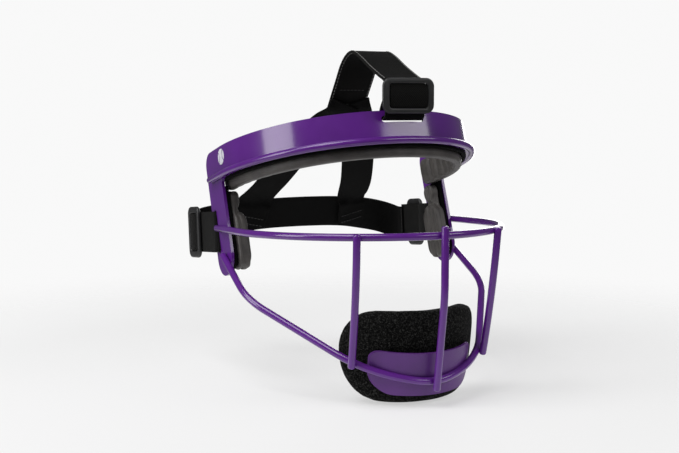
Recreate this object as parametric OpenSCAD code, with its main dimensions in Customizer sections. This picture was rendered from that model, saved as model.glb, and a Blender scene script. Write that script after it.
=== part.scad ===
// Fielder's face mask: a stamped sheet frame with a bent-wire cage, foam pads held by
// hook tape, and an elastic webbing harness with three strap adjusters.
// The wearer faces -Y. The origin is midway between the two legs, level with the cross wire.

/* [Frame plate] */
// Distance between the outer faces of the two side legs
leg_span = 179.2; // [172:0.2:188]
// Thickness of the stamped sheet
sheet_t = 2; // [1.5:0.1:2.5]
// Width of each leg, front edge to rear edge
leg_w = 28; // [24:1:32]
// How far the legs lean back from vertical, in degrees
leg_lean = 20.3; // [16:0.1:24]
// Height of the forehead band
band_h = 22; // [18:1:26]
// How far in front of the legs the band reaches
band_reach = 106; // [100:1:112]

/* [Wire cage] */
// Diameter of the cage wire
wire_d = 4.8; // [4:0.2:6]
// How far in front of the legs the cross wire reaches
cross_reach = 134.8; // [125:0.2:145]
// How far along its own slope the lower wire reaches
lower_reach = 143; // [135:1:150]
// Downward slope of the lower wire, in degrees
lower_slope = 27.5; // [24:0.5:30]
// Sideways distance of each side bar's top from the middle
bar_x = 51.1; // [46:0.1:56]

/* [Pads] */
// Thickness of the foam in the forehead pad
brow_foam = 8; // [6:0.5:10]
// Thickness of the foam in each side pad
side_foam = 9; // [8:0.5:11]
// Thickness of the chin pad
chin_foam = 15; // [12:1:18]
// Height of the chin pad
chin_h = 58; // [52:1:62]

/* [Harness] */
// Width of the top and side webbing
web_w = 29; // [26:0.5:30]
// Width of the rear and crown elastic
elastic_w = 25.4; // [22:0.2:28]
// Thickness of the webbing
web_t = 1.6; // [1.2:0.1:2]
// Length of each adjuster across the webbing
slider_l = 37.5; // [36:0.5:40]
// Size of each adjuster along the webbing
slider_w = 23; // [20:0.5:26]

/* [Hidden] */
$fn = 48;

turn_step = 3;                               // degrees of bend between two rings of a wire
wire_sides = 12;

purple = [0.37, 0.18, 0.51];
foam_gray = [0.31, 0.3, 0.28];
black = [0.06, 0.06, 0.06];
dark_plastic = [0.16, 0.16, 0.16];

weld = 0.3;                                  // depth that welded pieces melt into each other
big = 400;                                   // longer than the whole mask
sheet_mid = leg_span / 2 - sheet_t / 2;      // sideways distance of the sheet's middle at the legs
wire_x = leg_span / 2 + wire_d / 2 - weld;   // sideways distance of a wire welded to a leg

// Frame plate, in the leaning frame of the legs
front_turn = 57;                             // half angle of the band's front arc
front_r = 82;                                // its radius, to the sheet's middle
side_r = (sheet_mid - front_r * sin(front_turn)) / (1 - sin(front_turn));
front_c = front_r - band_reach;              // centre of the front arc
side_cx = (front_r - side_r) * sin(front_turn);
side_cy = front_c - (front_r - side_r) * cos(front_turn);
leg_front = 1;                               // front edge of the leg
leg_rear = leg_front + leg_w;
leg_low = -29;                               // lowest point of the leg
band_low = 37.6;                             // band's lower edge where it meets the leg
band_rise = 0.112;                           // how fast both band edges fall towards the front
corner_r = 11;                               // rear top corner of the plate
inner_r = 4;                                 // corner between leg and band
forehead_slot_low = 39.8;
forehead_slot_h = 4.5;
forehead_slot_w = 31;
leg_slot_front = 19.8;
leg_slot_w = 5;
leg_slot_low = -11;
leg_slot_high = 20;

// Cage
brow_tilt = 13.8;                            // slope of the brow wire's plane
brow_z = 40.1;                               // height of that plane above the origin
brow_reach = 95.8;
brow_offset = sheet_t / 2 + wire_d / 2 - weld;
brow_end = 34;
cross_tilt = 2;
cross_turn = 26;
cross_front_r = 70;
cross_side_r = (wire_x - cross_front_r * sin(cross_turn)) / (1 - sin(cross_turn));
cross_end = 19;
lower_z = -22;
lower_nose_r = 36;
lower_nose_turn = 20;
lower_front_r = 82;
lower_turn = 58.7;                           // direction of the lower wire's straight flank
lower_side_r = 53;
lower_flank = (wire_x - lower_nose_r * sin(lower_nose_turn)
    - lower_front_r * (sin(lower_turn) - sin(lower_nose_turn))
    - lower_side_r * (1 - sin(lower_turn))) / cos(lower_turn);
lower_side_y = -lower_reach + lower_nose_r * (1 - cos(lower_nose_turn))
    + lower_front_r * (cos(lower_nose_turn) - cos(lower_turn))
    + lower_flank * sin(lower_turn) + lower_side_r * cos(lower_turn);
lower_end = 8;
bar_gap = wire_d - weld;                     // between the axes of a bar and the wire it crosses
centre_bar_top = 11;
centre_bar_straight = 35;
centre_bar_r = 130;
centre_bar_turn = 8.3;
centre_bar_foot = 51.5;
side_bar_y = -120.4;
side_bar_top = 6.5;
side_bar_lean = 4.25;                         // backward lean at the top
side_bar_in = 1.7;                           // inward lean
side_bar_r = 600;
side_bar_turn = 8.3;

// Chin plate and pad, in a frame that leans back below
chin_lean = 8;
chin_z = -88;                                // where the lower wire meets the plate
chin_y = -124.6;
chin_r = 47.8;                               // outer radius of the plate
chin_sheet = 1.6;
chin_plate_w = 73;
chin_plate_h = 28;
chin_plate_up = 18;                          // how far the plate stands above the wire
chin_pad_r = 57;
chin_pad_gap = 6.4;                          // from the plate's outer face to the pad, in the middle
chin_pad_turn = 64;                          // half angle of the pad
chin_pad_w = 101;
chin_pad_up = 39;                            // how far the pad stands above the wire
chin_round = 7;                              // roundness of the pad's edges
tape_t = 1.2;
tape_turn = 33;
tape_h = 20;

// Forehead and side pads
pad_gap = 0.3;                               // between pieces that pull apart
backing_t = 3;
brow_pad_low = -8;                           // below the band's lower edge
brow_pad_h = 20;
brow_pad_rear = 14;
side_backing = [[2, 32], [2, -17], [6, -24], [12, -26], [17, -22], [19, -14], [19, 32]];
side_pad_x = leg_span / 2 - sheet_t - backing_t - pad_gap;

// Adjusters
slider_t = 2.8;                              // thickness of the frame
slider_bar = 3.6;                            // width of each outer bar
slider_end = 5;                              // width of each end
slider_round = 4;                            // corner radius
slider_y = 62;                               // rest place of the side adjusters
slider_slope = 5.4;                          // the side webbing falls towards the rear
slider_clear = 0.4;
leg_gap = 0.3;                               // from the webbing to either face of the leg

function unit(v) = v / norm(v);
function lerp(a, b, t) = a + (b - a) * t;
// A smooth curve through control points, each [x, y, z]
function curve_at(p, i, t) = let(
        a = p[max(i - 1, 0)], b = p[i], c = p[i + 1], d = p[min(i + 2, len(p) - 1)])
    0.5 * (2 * b + (c - a) * t + (2 * a - 5 * b + 4 * c - d) * t * t
        + (3 * b - a - 3 * c + d) * t * t * t);
function curve(p, steps) = concat(
    [for (i = [0 : len(p) - 2], k = [0 : steps - 1]) curve_at(p, i, k / steps)],
    [p[len(p) - 1]]);
function flip_x(v) = concat([-v[0]], [for (i = [1 : len(v) - 1]) v[i]]);
function backwards(list) = [for (i = [len(list) - 1 : -1 : 0]) list[i]];

// The corners of a webbing section: path point, travel direction, across direction
function section(p, along, across, w, t) = let(
        side = unit(across - (across * along) * along), out = cross(along, side))
    [p - side * w / 2 - out * t / 2, p + side * w / 2 - out * t / 2,
     p + side * w / 2 + out * t / 2, p - side * w / 2 + out * t / 2];

// A flat strap swept along a path
module strap(path, across, w, t) {
    last = len(path) - 1;
    along = [for (i = [0 : last]) unit(path[min(i + 1, last)] - path[max(i - 1, 0)])];
    points = [for (i = [0 : last]) each section(path[i], along[i], unit(across[i]), w, t)];
    sides = [for (i = [0 : last - 1], k = [0 : 3]) each [
        [4 * i + k, 4 * i + 4 + k, 4 * i + (k + 1) % 4],
        [4 * i + (k + 1) % 4, 4 * i + 4 + k, 4 * i + 4 + (k + 1) % 4]]];
    polyhedron(points, concat([[0, 1, 2], [0, 2, 3]], sides,
        [[4 * last + 2, 4 * last + 1, 4 * last], [4 * last + 3, 4 * last + 2, 4 * last]]));
}

// Points [x, y, heading] along a run that starts along +X and turns towards +Y; each
// run is [radius, degrees], or [0, length] where it is straight
function trace(runs, from = [0, 0, 0], i = 0) = i == len(runs) ? [from] : let(
        r = runs[i][0], amount = runs[i][1], h = from[2],
        pieces = r == 0 ? 1 : max(1, ceil(amount / turn_step)),
        stops = [for (k = [0 : pieces]) r == 0
            ? [from[0] + cos(h) * amount * k, from[1] + sin(h) * amount * k, h]
            : let(g = h + amount * k / pieces)
                [from[0] + r * (sin(g) - sin(h)), from[1] + r * (cos(h) - cos(g)), g]])
    concat([for (k = [0 : pieces - 1]) stops[k]], trace(runs, stops[pieces], i + 1));
function flat(stops) = [for (s = stops) [s[0], s[1], 0]];
// Both halves of a piece that is the same on the left and the right
function whole(half) = concat([for (i = [len(half) - 1 : -1 : 1]) flip_x(half[i])], half);

// A round wire along a flat path in the XY plane
module wire(path) {
    last = len(path) - 1;
    points = [for (i = [0 : last]) let(
            along = unit(path[min(i + 1, last)] - path[max(i - 1, 0)]),
            side = cross(along, [0, 0, 1]))
        each [for (k = [0 : wire_sides - 1]) let(a = 360 * k / wire_sides)
            path[i] + wire_d / 2 * (cos(a) * side + sin(a) * [0, 0, 1])]];
    rings = [for (i = [0 : last - 1], k = [0 : wire_sides - 1]) let(
            a = i * wire_sides + k, b = i * wire_sides + (k + 1) % wire_sides)
        each [[a, a + wire_sides, b], [b, a + wire_sides, b + wire_sides]]];
    polyhedron(points, concat([[for (k = [0 : wire_sides - 1]) k]], rings,
        [[for (k = [wire_sides - 1 : -1 : 0]) last * wire_sides + k]]));
}

// The legs' own frame: its up axis runs along the legs
module leaning() {
    rotate([-leg_lean, 0, 0]) children();
}

// A wall that follows the plate's plan; its outer face lies "out" beyond the sheet's middle
module plan_wall(out, thick, low, high) {
    stops = trace([[front_r, front_turn], [side_r, 90 - front_turn], [0, leg_rear - side_cy]]);
    outer = whole([for (p = stops) [p[0] + out * sin(p[2]), p[1] - out * cos(p[2])]]);
    inner = whole([for (p = stops)
        [p[0] + (out - thick) * sin(p[2]), p[1] - (out - thick) * cos(p[2])]]);
    translate([0, -band_reach, low])
        linear_extrude(high - low) polygon(concat(outer, backwards(inner)));
}

// A side view, drawn as [depth, height], pushed right through the mask
module side_prism() {
    rotate([90, 0, 90])
        linear_extrude(big, center = true) children();
}

// A strip of the side view between two heights above the band's lower edge
module band_strip(low, high, front, rear) {
    polygon([
        [front, band_low + low + band_rise * front],
        [rear, band_low + low + band_rise * rear],
        [rear, band_low + high + band_rise * rear],
        [front, band_low + high + band_rise * front]]);
}

module plate_side_view() {
    corner_y = leg_rear - corner_r;
    corner_z = band_low + band_h + band_rise * corner_y - corner_r;
    band_strip(0, band_h, -big / 2, corner_y);
    translate([corner_y, corner_z]) circle(corner_r);
    translate([leg_front, leg_low + leg_w / 2]) square([leg_w, corner_z - leg_low - leg_w / 2]);
    translate([leg_front + leg_w / 2, leg_low + leg_w / 2]) circle(leg_w / 2);
    difference() {
        translate([leg_front - inner_r, band_low - inner_r]) square([inner_r + 1, inner_r]);
        translate([leg_front - inner_r, band_low - inner_r]) circle(inner_r);
    }
}

module frame_plate() {
    slot_r = forehead_slot_h / 2;
    slot_z = forehead_slot_low + slot_r;
    leg_slot_r = leg_slot_w / 2;
    color(purple) leaning() difference() {
        intersection() {
            plan_wall(sheet_t / 2, sheet_t, leg_low - 1, band_low + band_h + corner_r);
            side_prism() plate_side_view();
        }
        translate([-forehead_slot_w / 2 + slot_r, -big / 2, forehead_slot_low])
            cube([forehead_slot_w - 2 * slot_r, big / 4 + 20, forehead_slot_h]);
        for (side = [-1, 1])
            translate([side * (forehead_slot_w / 2 - slot_r), -80, slot_z])
                rotate([90, 0, 0]) cylinder(r = slot_r, h = big / 4);
        translate([-big / 2, leg_slot_front, leg_slot_low + leg_slot_r])
            cube([big, leg_slot_w, leg_slot_high - leg_slot_low - leg_slot_w]);
        for (z = [leg_slot_low + leg_slot_r, leg_slot_high - leg_slot_r])
            translate([-big / 2, leg_slot_front + leg_slot_r, z])
                rotate([0, 90, 0]) cylinder(r = leg_slot_r, h = big);
    }
}

module brow_wire() {
    straight = brow_end + brow_reach - (front_r + brow_offset) * (1 - cos(front_turn))
        - (side_r + brow_offset) * cos(front_turn);
    runs = [[front_r + brow_offset, front_turn], [side_r + brow_offset, 90 - front_turn],
        [0, straight]];
    color(purple) translate([0, 0, brow_z]) rotate([-brow_tilt, 0, 0])
        translate([0, -brow_reach, 0]) wire(whole(flat(trace(runs))));
}

module cross_wire() {
    straight = cross_end + cross_reach - cross_front_r * (1 - cos(cross_turn))
        - cross_side_r * cos(cross_turn);
    runs = [[cross_front_r, cross_turn], [cross_side_r, 90 - cross_turn], [0, straight]];
    color(purple) rotate([-cross_tilt, 0, 0])
        translate([0, -cross_reach, 0]) wire(whole(flat(trace(runs))));
}

module lower_wire() {
    runs = [[lower_nose_r, lower_nose_turn],
        [lower_front_r, lower_turn - lower_nose_turn],
        [0, lower_flank],
        [lower_side_r, 90 - lower_turn],
        [0, lower_end - lower_side_y]];
    color(purple) translate([0, 0, lower_z]) rotate([lower_slope, 0, 0])
        translate([0, -lower_reach, 0]) wire(whole(flat(trace(runs))));
}

// A bar that runs down from the origin and bends towards +Y
module bar(runs) {
    color(purple) rotate([0, 90, 0]) wire(flat(trace(runs)));
}

module centre_bar() {
    translate([0, -cross_reach - bar_gap, centre_bar_top])
        bar([[0, centre_bar_straight], [centre_bar_r, centre_bar_turn], [0, centre_bar_foot]]);
}

module side_bar(side) {
    mirror([side, 0, 0])
        translate([bar_x, side_bar_y, side_bar_top])
            rotate([side_bar_lean, side_bar_in, 0])
                bar([[side_bar_r, side_bar_turn]]);
}

// The chin piece's own frame, on the outer face of the plate where the lower wire meets it
module chin_frame() {
    translate([0, chin_y, chin_z]) rotate([chin_lean, 0, 0]) children();
}

// A curved slab that bulges towards -Y, with its outer face at the origin
module curved_slab(r, thick, turn, low, high) {
    stops = trace([[r, turn]]);
    outer = whole([for (p = stops) [p[0], p[1]]]);
    inner = whole([for (p = stops) [p[0] - thick * sin(p[2]), p[1] + thick * cos(p[2])]]);
    translate([0, 0, low])
        linear_extrude(high - low) polygon(concat(outer, backwards(inner)));
}

function corner(x, y, r, from) =
    [for (a = [0 : 15 : 90]) [x + r * cos(from + a), y + r * sin(from + a)]];

// An outline in the XZ plane with round corners, "top" and "bottom" being their radii
module outline(w, low, high, top, bottom) {
    half = w / 2;
    rotate([90, 0, 0]) linear_extrude(big, center = true) polygon(concat(
        corner(half - top, high - top, top, 0),
        corner(top - half, high - top, top, 90),
        corner(bottom - half, low + bottom, bottom, 180),
        corner(half - bottom, low + bottom, bottom, 270)));
}

module chin_plate() {
    low = chin_plate_up - chin_plate_h;
    color(purple) chin_frame() intersection() {
        curved_slab(chin_r, chin_sheet, 66, low - 1, chin_plate_up + 1);
        outline(chin_plate_w, low, chin_plate_up, 6, 13);
    }
}

// A plain ball badge: a disc with two seam arcs cut through it
module emblem() {
    badge_r = 5.5;
    badge_y = -4;
    badge_z = 51.5;
    seam_r = 6;
    color("white") leaning() intersection() {
        plan_wall(sheet_t / 2 + 0.25, 0.35, 40, 62);
        translate([-sheet_mid, badge_y, badge_z]) rotate([0, 90, 0]) difference() {
            cylinder(r = badge_r, h = 10, center = true);
            for (side = [-1, 1])
                translate([0, side * (seam_r + 2), 0]) difference() {
                    cylinder(r = seam_r, h = 20, center = true);
                    cylinder(r = seam_r - 1, h = 20, center = true);
                }
        }
    }
}

module brow_layer(out, thick, low, high, rear) {
    leaning() intersection() {
        plan_wall(out, thick, 0, band_low + band_h);
        side_prism() band_strip(low, high, -big / 2, rear);
    }
}

module brow_backing() {
    color(black)
        brow_layer(-sheet_t / 2, backing_t, brow_pad_low + 3, brow_pad_h - 7, brow_pad_rear);
}

module brow_pad() {
    color(foam_gray)
        brow_layer(-sheet_t / 2 - backing_t - pad_gap, brow_foam,
            brow_pad_low, brow_pad_low + brow_pad_h, brow_pad_rear);
}

module side_backing(side) {
    color(black) mirror([side, 0, 0]) leaning()
        translate([leg_span / 2 - sheet_t - backing_t, 0, 0])
            rotate([90, 0, 90]) linear_extrude(backing_t) polygon(side_backing);
}

// Moulded foam: a long lower lobe, a neck and a small upper lobe
module side_pad(side) {
    lobe_r = 11;
    lobe_y = 8.5;
    lobe_low = -17;
    lobe_high = 4;
    neck_t = 5;
    small_r = 6.5;
    small_z = 23.4;
    color(foam_gray) mirror([side, 0, 0]) leaning()
        translate([side_pad_x, 0, 0]) rotate([0, -90, 0]) {
            translate([lobe_low, lobe_y, 0]) cylinder(r = lobe_r, h = side_foam);
            translate([lobe_high, lobe_y, 0]) cylinder(r = lobe_r, h = side_foam);
            translate([lobe_low, lobe_y - lobe_r, 0])
                cube([lobe_high - lobe_low, 2 * lobe_r, side_foam]);
            translate([lobe_high, lobe_y - small_r + 1, 0])
                cube([small_z - lobe_high, 2 * small_r - 2, neck_t]);
            translate([small_z, lobe_y, 0]) cylinder(r = small_r, h = side_foam - 2);
        }
}

module chin_hook_tape() {
    color(black) chin_frame() translate([0, chin_sheet, 0])
        curved_slab(chin_r - chin_sheet, tape_t, tape_turn, chin_plate_up - 4 - tape_h,
            chin_plate_up - 4);
}

module chin_pad() {
    color(black) chin_frame() intersection() {
        translate([0, chin_pad_gap + chin_pad_r, chin_pad_up - chin_h])
            rotate([0, 0, -90 - chin_pad_turn]) rotate_extrude(angle = 2 * chin_pad_turn)
                translate([chin_pad_r - chin_foam, 0]) {
                    translate([chin_round, 0]) square([chin_foam - 2 * chin_round, chin_h]);
                    translate([0, chin_round]) square([chin_foam, chin_h - 2 * chin_round]);
                    for (x = [chin_round, chin_foam - chin_round],
                        y = [chin_round, chin_h - chin_round])
                        translate([x, y]) circle(chin_round);
                }
        outline(chin_pad_w, chin_pad_up - chin_h, chin_pad_up, 20, 26);
    }
}

// An adjuster: flat frame in the XY plane, webbing running along Y underneath it.
// The bridge bar sits lower than the frame, under the fold of webbing.
module slider() {
    bridge = 3;
    half_l = slider_l / 2 - slider_round;
    half_w = slider_w / 2 - slider_round;
    color(dark_plastic) {
        difference() {
            union() {
                translate([-half_l, -slider_w / 2, 0]) cube([2 * half_l, slider_w, slider_t]);
                translate([-slider_l / 2, -half_w, 0]) cube([slider_l, 2 * half_w, slider_t]);
                for (x = [-half_l, half_l], y = [-half_w, half_w])
                    translate([x, y, 0]) cylinder(r = slider_round, h = slider_t);
            }
            translate([-slider_l / 2 + slider_end, -slider_w / 2 + slider_bar, -1])
                cube([slider_l - 2 * slider_end, slider_w - 2 * slider_bar, slider_t + 2]);
        }
        translate([-slider_l / 2 + slider_end - 1, -bridge / 2, 0])
            cube([slider_l - 2 * slider_end + 2, bridge, 1]);
    }
}

// The short fold of webbing that humps over the bridge bar
module fold(w) {
    reach = slider_w / 2 - slider_bar - 0.4;
    hump = [[0, -reach, 0.9], [0, -reach / 2, 1.9], [0, 0, 2.3], [0, reach / 2, 1.9], [0, reach, 0.9]];
    path = curve(hump, 3);
    color(black) strap(path, [for (p = path) [1, 0, 0]], w, web_t);
}

// Places an adjuster on the outer face of the side webbing
module on_side_web(side) {
    mirror([side, 0, 0])
        translate([side_out + web_t / 2 + slider_clear, slider_y, side_web_z(slider_y)])
            rotate([-slider_slope, 0, 0]) rotate([90, 0, 90]) rotate([0, 0, 90]) children();
}

function side_web_z(y) = -3.9 - tan(slider_slope) * (y - 24);

// Side webbing, right-hand side: from its sewn inner end through the leg slot and back
side_out = leg_span / 2 + leg_gap + web_t / 2;
side_in = leg_span / 2 - sheet_t - leg_gap - web_t / 2 - 0.1;
side_web = [
    [side_out - web_t - 0.3, 47, 0], [side_in + 0.6, 41, 0], [side_in, 34, 0], [side_in, 27, 0],
    [side_in + 0.4, 23.4, 0], [(side_in + side_out) / 2, 22, 0], [side_out - 0.4, 23.4, 0],
    [side_out, 27, 0], [side_out, 34, 0], [side_out, 46, 0], [side_out, 58, 0], [side_out, 70, 0],
    [side_out, 78.2, 0]];
function on_side(p) = [p[0], p[1], side_web_z(p[1])];
function side_across(y) = let(
        t = min(1, max(0, (y - 27) / 18)), a = lerp(leg_lean, slider_slope, t))
    [0, sin(a), cos(a)];

module side_strap(side) {
    path = [for (p = curve(side_web, 3)) on_side(p)];
    color(black) mirror([side, 0, 0])
        strap(path, [for (p = path) side_across(p[1])], web_w, web_t);
}

// Top webbing in the middle plane: sewn inner end, round the strip above the forehead slot,
// up past the adjuster, over the crown and down to the rear
top_web = [
    [0, -87.1, 95], [0, -86.2, 90.5], [0, -82.6, 86], [0, -80.2, 82],
    [0, -79.7, 79], [0, -81.2, 76.8], [0, -84.2, 75.9], [0, -86.9, 77.8],
    [0, -88, 82], [0, -89.2, 87], [0, -89.4, 92], [0, -88.6, 97], [0, -85, 101],
    [0, -77, 104.4], [0, -63, 110.6], [0, -49, 117.6], [0, -38, 121.2], [0, -29, 118.6],
    [0, -21, 112], [0, -14, 102.5], [0, -7, 93], [0, -0.5, 84]];

module top_strap() {
    path = curve(top_web, 3);
    color(black) strap(path, [for (p = path) [1, 0, 0]], web_w, web_t);
}

module on_top_web() {
    translate([0, -89.4 - web_t / 2 - slider_clear, 91]) rotate([90, 0, 0]) children();
}

// Crown elastic, right-hand side, from under the top webbing to the rear strap
crown_web = [
    [3.2, -5.2, 87], [5.6, -1.8, 82.4], [11.2, 6, 76], [20, 20, 63], [28, 36, 45.5], [35.5, 53, 27.5],
    [41, 67, 13.5], [42.6, 71.6, 6], [43.4, 74.4, -2], [44, 76, -6.4]];

// The right-hand strap of the pair passes under the left-hand one where they are sewn together
function crown_under(i) = max(0, 1 - max(0, i - 1) / 1.5) * [0, -1.5, -1.1];

module crown_strap(side) {
    path = curve([for (i = [0 : len(crown_web) - 1])
        crown_web[i] + side * crown_under(i)], 3);
    last = len(path) - 1;
    across = [for (i = [0 : last]) let(
            d = unit(path[min(i + 1, last)] - path[max(i - 1, 0)])) [1, 0, 0] - d[0] * d];
    color(black) mirror([side, 0, 0]) strap(path, across, elastic_w, web_t);
}

// Rear elastic, right half, from the middle of the back to the end of the side webbing
rear_web = [
    [0, 76.6, 3.2], [12, 76.6, 3.1], [24, 77, 2.8], [36, 78.2, 2], [46, 80.6, 1], [56, 84.6, -0.6],
    [66, 88.6, -2.4], [75, 91.2, -4.4], [82, 90.6, -6.4], [87, 87.6, -8.6],
    [90.2, 83.4, -9.4], [91, 79.7, -9.1]];
rear_lean = [23, 23, 23, 23, 21, 17, 12, 7, 3, -1, -4, -5.4];

module rear_strap() {
    steps = 3;
    half = curve(rear_web, steps);
    leans = [for (v = curve([for (a = rear_lean) [a, 0, 0]], steps)) v[0]];
    inner = [for (i = [len(half) - 1 : -1 : 1]) flip_x(half[i])];
    path = concat(inner, half);
    lean = concat([for (i = [len(half) - 1 : -1 : 1]) leans[i]], leans);
    color(black) strap(path, [for (a = lean) [0, -sin(a), cos(a)]], elastic_w, web_t);
}

frame_plate();
brow_wire();
cross_wire();
lower_wire();
side_bar(0);  // left_bar
centre_bar();
side_bar(1);  // right_bar
chin_plate();
emblem();
brow_backing();
brow_pad();
side_backing(0);  // left_backing
side_backing(1);  // right_backing
side_pad(0);  // left_pad
side_pad(1);  // right_pad
chin_hook_tape();
chin_pad();
top_strap();
on_top_web() slider();  // top_slider
on_top_web() fold(web_w - 2);  // top_fold
side_strap(0);  // left_strap
on_side_web(0) slider();  // left_slider
on_side_web(0) fold(web_w - 2);  // left_fold
side_strap(1);  // right_strap
on_side_web(1) slider();  // right_slider
on_side_web(1) fold(web_w - 2);  // right_fold
crown_strap(0);  // crown_left_strap
crown_strap(1);  // crown_right_strap
rear_strap();
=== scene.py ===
import math

import bpy
from mathutils import Matrix, Vector


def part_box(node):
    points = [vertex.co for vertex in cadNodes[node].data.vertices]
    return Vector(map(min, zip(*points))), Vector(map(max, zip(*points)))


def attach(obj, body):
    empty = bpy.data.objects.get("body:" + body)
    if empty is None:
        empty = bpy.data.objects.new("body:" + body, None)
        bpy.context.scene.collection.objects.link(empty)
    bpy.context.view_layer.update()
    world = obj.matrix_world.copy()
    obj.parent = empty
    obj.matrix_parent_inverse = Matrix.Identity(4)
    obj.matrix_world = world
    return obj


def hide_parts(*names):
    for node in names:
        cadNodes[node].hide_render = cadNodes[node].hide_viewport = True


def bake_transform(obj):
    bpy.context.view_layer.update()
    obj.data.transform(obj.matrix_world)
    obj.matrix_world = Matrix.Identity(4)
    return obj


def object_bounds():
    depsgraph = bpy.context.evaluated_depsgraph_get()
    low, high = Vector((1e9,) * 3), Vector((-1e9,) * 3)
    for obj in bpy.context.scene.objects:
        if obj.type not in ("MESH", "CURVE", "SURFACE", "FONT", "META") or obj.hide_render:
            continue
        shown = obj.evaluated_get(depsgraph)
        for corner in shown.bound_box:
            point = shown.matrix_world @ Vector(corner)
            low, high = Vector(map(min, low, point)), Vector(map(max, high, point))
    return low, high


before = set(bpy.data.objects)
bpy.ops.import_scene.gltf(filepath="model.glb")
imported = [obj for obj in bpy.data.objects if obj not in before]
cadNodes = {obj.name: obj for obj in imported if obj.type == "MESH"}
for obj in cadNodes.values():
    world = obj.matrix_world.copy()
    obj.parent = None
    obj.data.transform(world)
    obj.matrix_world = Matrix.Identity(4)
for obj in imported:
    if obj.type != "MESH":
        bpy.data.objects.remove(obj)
cadLow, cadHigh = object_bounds()
mm = 0.001                                   # every size below is in millimetres
xAxis, yAxis, zAxis = Vector((1, 0, 0)), Vector((0, 1, 0)), Vector((0, 0, 1))


# The camera and the studio

camera = {"azimuth": -25.75, "elevation": 5.75, "place": (-355.1, -726.3, 79.6), "lens": 59.5}
studio = {
    "backdrop": (0.945, 0.945, 0.945),
    "fill": 0.11,                            # how much light the room gives from all round
    "floor": (0.42, 0.42, 0.42),
    "floorGlow": 0.5,
    "floorRadius": 700,
    "floorDrop": 0.2,
}
softBoxes = [                                # azimuth, elevation, distance, width, height, power
    {"name": "leftBox", "at": (-97, 17, 1500), "size": (620, 900), "power": 9},
    {"name": "frontBox", "at": (34, 33, 1600), "size": (1400, 400), "power": 7.5},
    {"name": "rearBox", "at": (138, 8, 1500), "size": (500, 900), "power": 5},
    {"name": "topBox", "at": (-78, 60, 1700), "size": (1100, 1100), "power": 19},
]


def clearSelection():
    for item in list(bpy.context.selected_objects):
        item.select_set(False)


def direction(azimuth, elevation):
    turn, rise = math.radians(azimuth), math.radians(elevation)
    return Vector((math.sin(turn) * math.cos(rise), -math.cos(turn) * math.cos(rise),
                   math.sin(rise)))


def makeCamera():
    clearSelection()
    bpy.ops.object.camera_add(
        location=Vector(camera["place"]) * mm,
        rotation=(math.radians(90 - camera["elevation"]), 0, math.radians(camera["azimuth"])))
    eye = bpy.context.object
    eye.data.sensor_width = 36
    eye.data.lens = camera["lens"]
    eye.data.clip_start = 0.01
    bpy.context.scene.camera = eye


def makeLights():
    for box in softBoxes:
        azimuth, elevation, distance = box["at"]
        back = direction(azimuth, elevation)
        clearSelection()
        bpy.ops.object.light_add(type="AREA", location=back * distance * mm)
        light = bpy.context.object
        light.name = box["name"]
        light.rotation_euler = back.to_track_quat("Z", "Y").to_euler()
        light.data.shape = "RECTANGLE"
        light.data.size = box["size"][0] * mm
        light.data.size_y = box["size"][1] * mm
        light.data.energy = box["power"]


def makeRoom():
    room = bpy.data.worlds.new("room")
    bpy.context.scene.world = room
    room.use_nodes = True
    nodes, links = room.node_tree.nodes, room.node_tree.links
    nodes.clear()
    seen = nodes.new("ShaderNodeBackground")
    seen.inputs["Color"].default_value = (*studio["backdrop"], 1)
    lit = nodes.new("ShaderNodeBackground")
    lit.inputs["Color"].default_value = (1, 1, 1, 1)
    lit.inputs["Strength"].default_value = studio["fill"]
    mix, path = nodes.new("ShaderNodeMixShader"), nodes.new("ShaderNodeLightPath")
    out = nodes.new("ShaderNodeOutputWorld")
    links.new(path.outputs["Is Camera Ray"], mix.inputs["Fac"])
    links.new(lit.outputs[0], mix.inputs[1])
    links.new(seen.outputs[0], mix.inputs[2])
    links.new(mix.outputs[0], out.inputs["Surface"])
    bpy.context.scene.view_settings.view_transform = "Standard"


def makeFloor():
    clearSelection()
    bpy.ops.mesh.primitive_circle_add(
        vertices=96, radius=studio["floorRadius"] * mm, fill_type="NGON",
        location=(0, 0, cadLow.z - studio["floorDrop"] * mm))
    floor = bpy.context.object
    floor.name = "floor"
    paint = bpy.data.materials.new("paleFloor")
    paint.use_nodes = True
    nodes, links = paint.node_tree.nodes, paint.node_tree.links
    surface = nodes["Principled BSDF"]
    surface.inputs["Base Color"].default_value = (*studio["floor"], 1)
    surface.inputs["Emission Color"].default_value = (1, 1, 1, 1)
    surface.inputs["Emission Strength"].default_value = studio["floorGlow"]
    surface.inputs["Roughness"].default_value = 0.9
    surface.inputs["Specular IOR Level"].default_value = 0.1
    place, reach = nodes.new("ShaderNodeTexCoord"), nodes.new("ShaderNodeVectorMath")
    reach.operation = "LENGTH"
    fade = nodes.new("ShaderNodeMapRange")   # the floor fades into the backdrop
    fade.interpolation_type = "SMOOTHSTEP"
    fade.inputs["From Min"].default_value = 0.3 * studio["floorRadius"] * mm
    fade.inputs["From Max"].default_value = 0.8 * studio["floorRadius"] * mm
    clear, mix = nodes.new("ShaderNodeBsdfTransparent"), nodes.new("ShaderNodeMixShader")
    links.new(place.outputs["Object"], reach.inputs[0])
    links.new(reach.outputs["Value"], fade.inputs["Value"])
    links.new(fade.outputs["Result"], mix.inputs["Fac"])
    links.new(surface.outputs[0], mix.inputs[1])
    links.new(clear.outputs[0], mix.inputs[2])
    links.new(mix.outputs[0], nodes["Material Output"].inputs["Surface"])
    floor.data.materials.append(paint)


# Finishes

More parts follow.
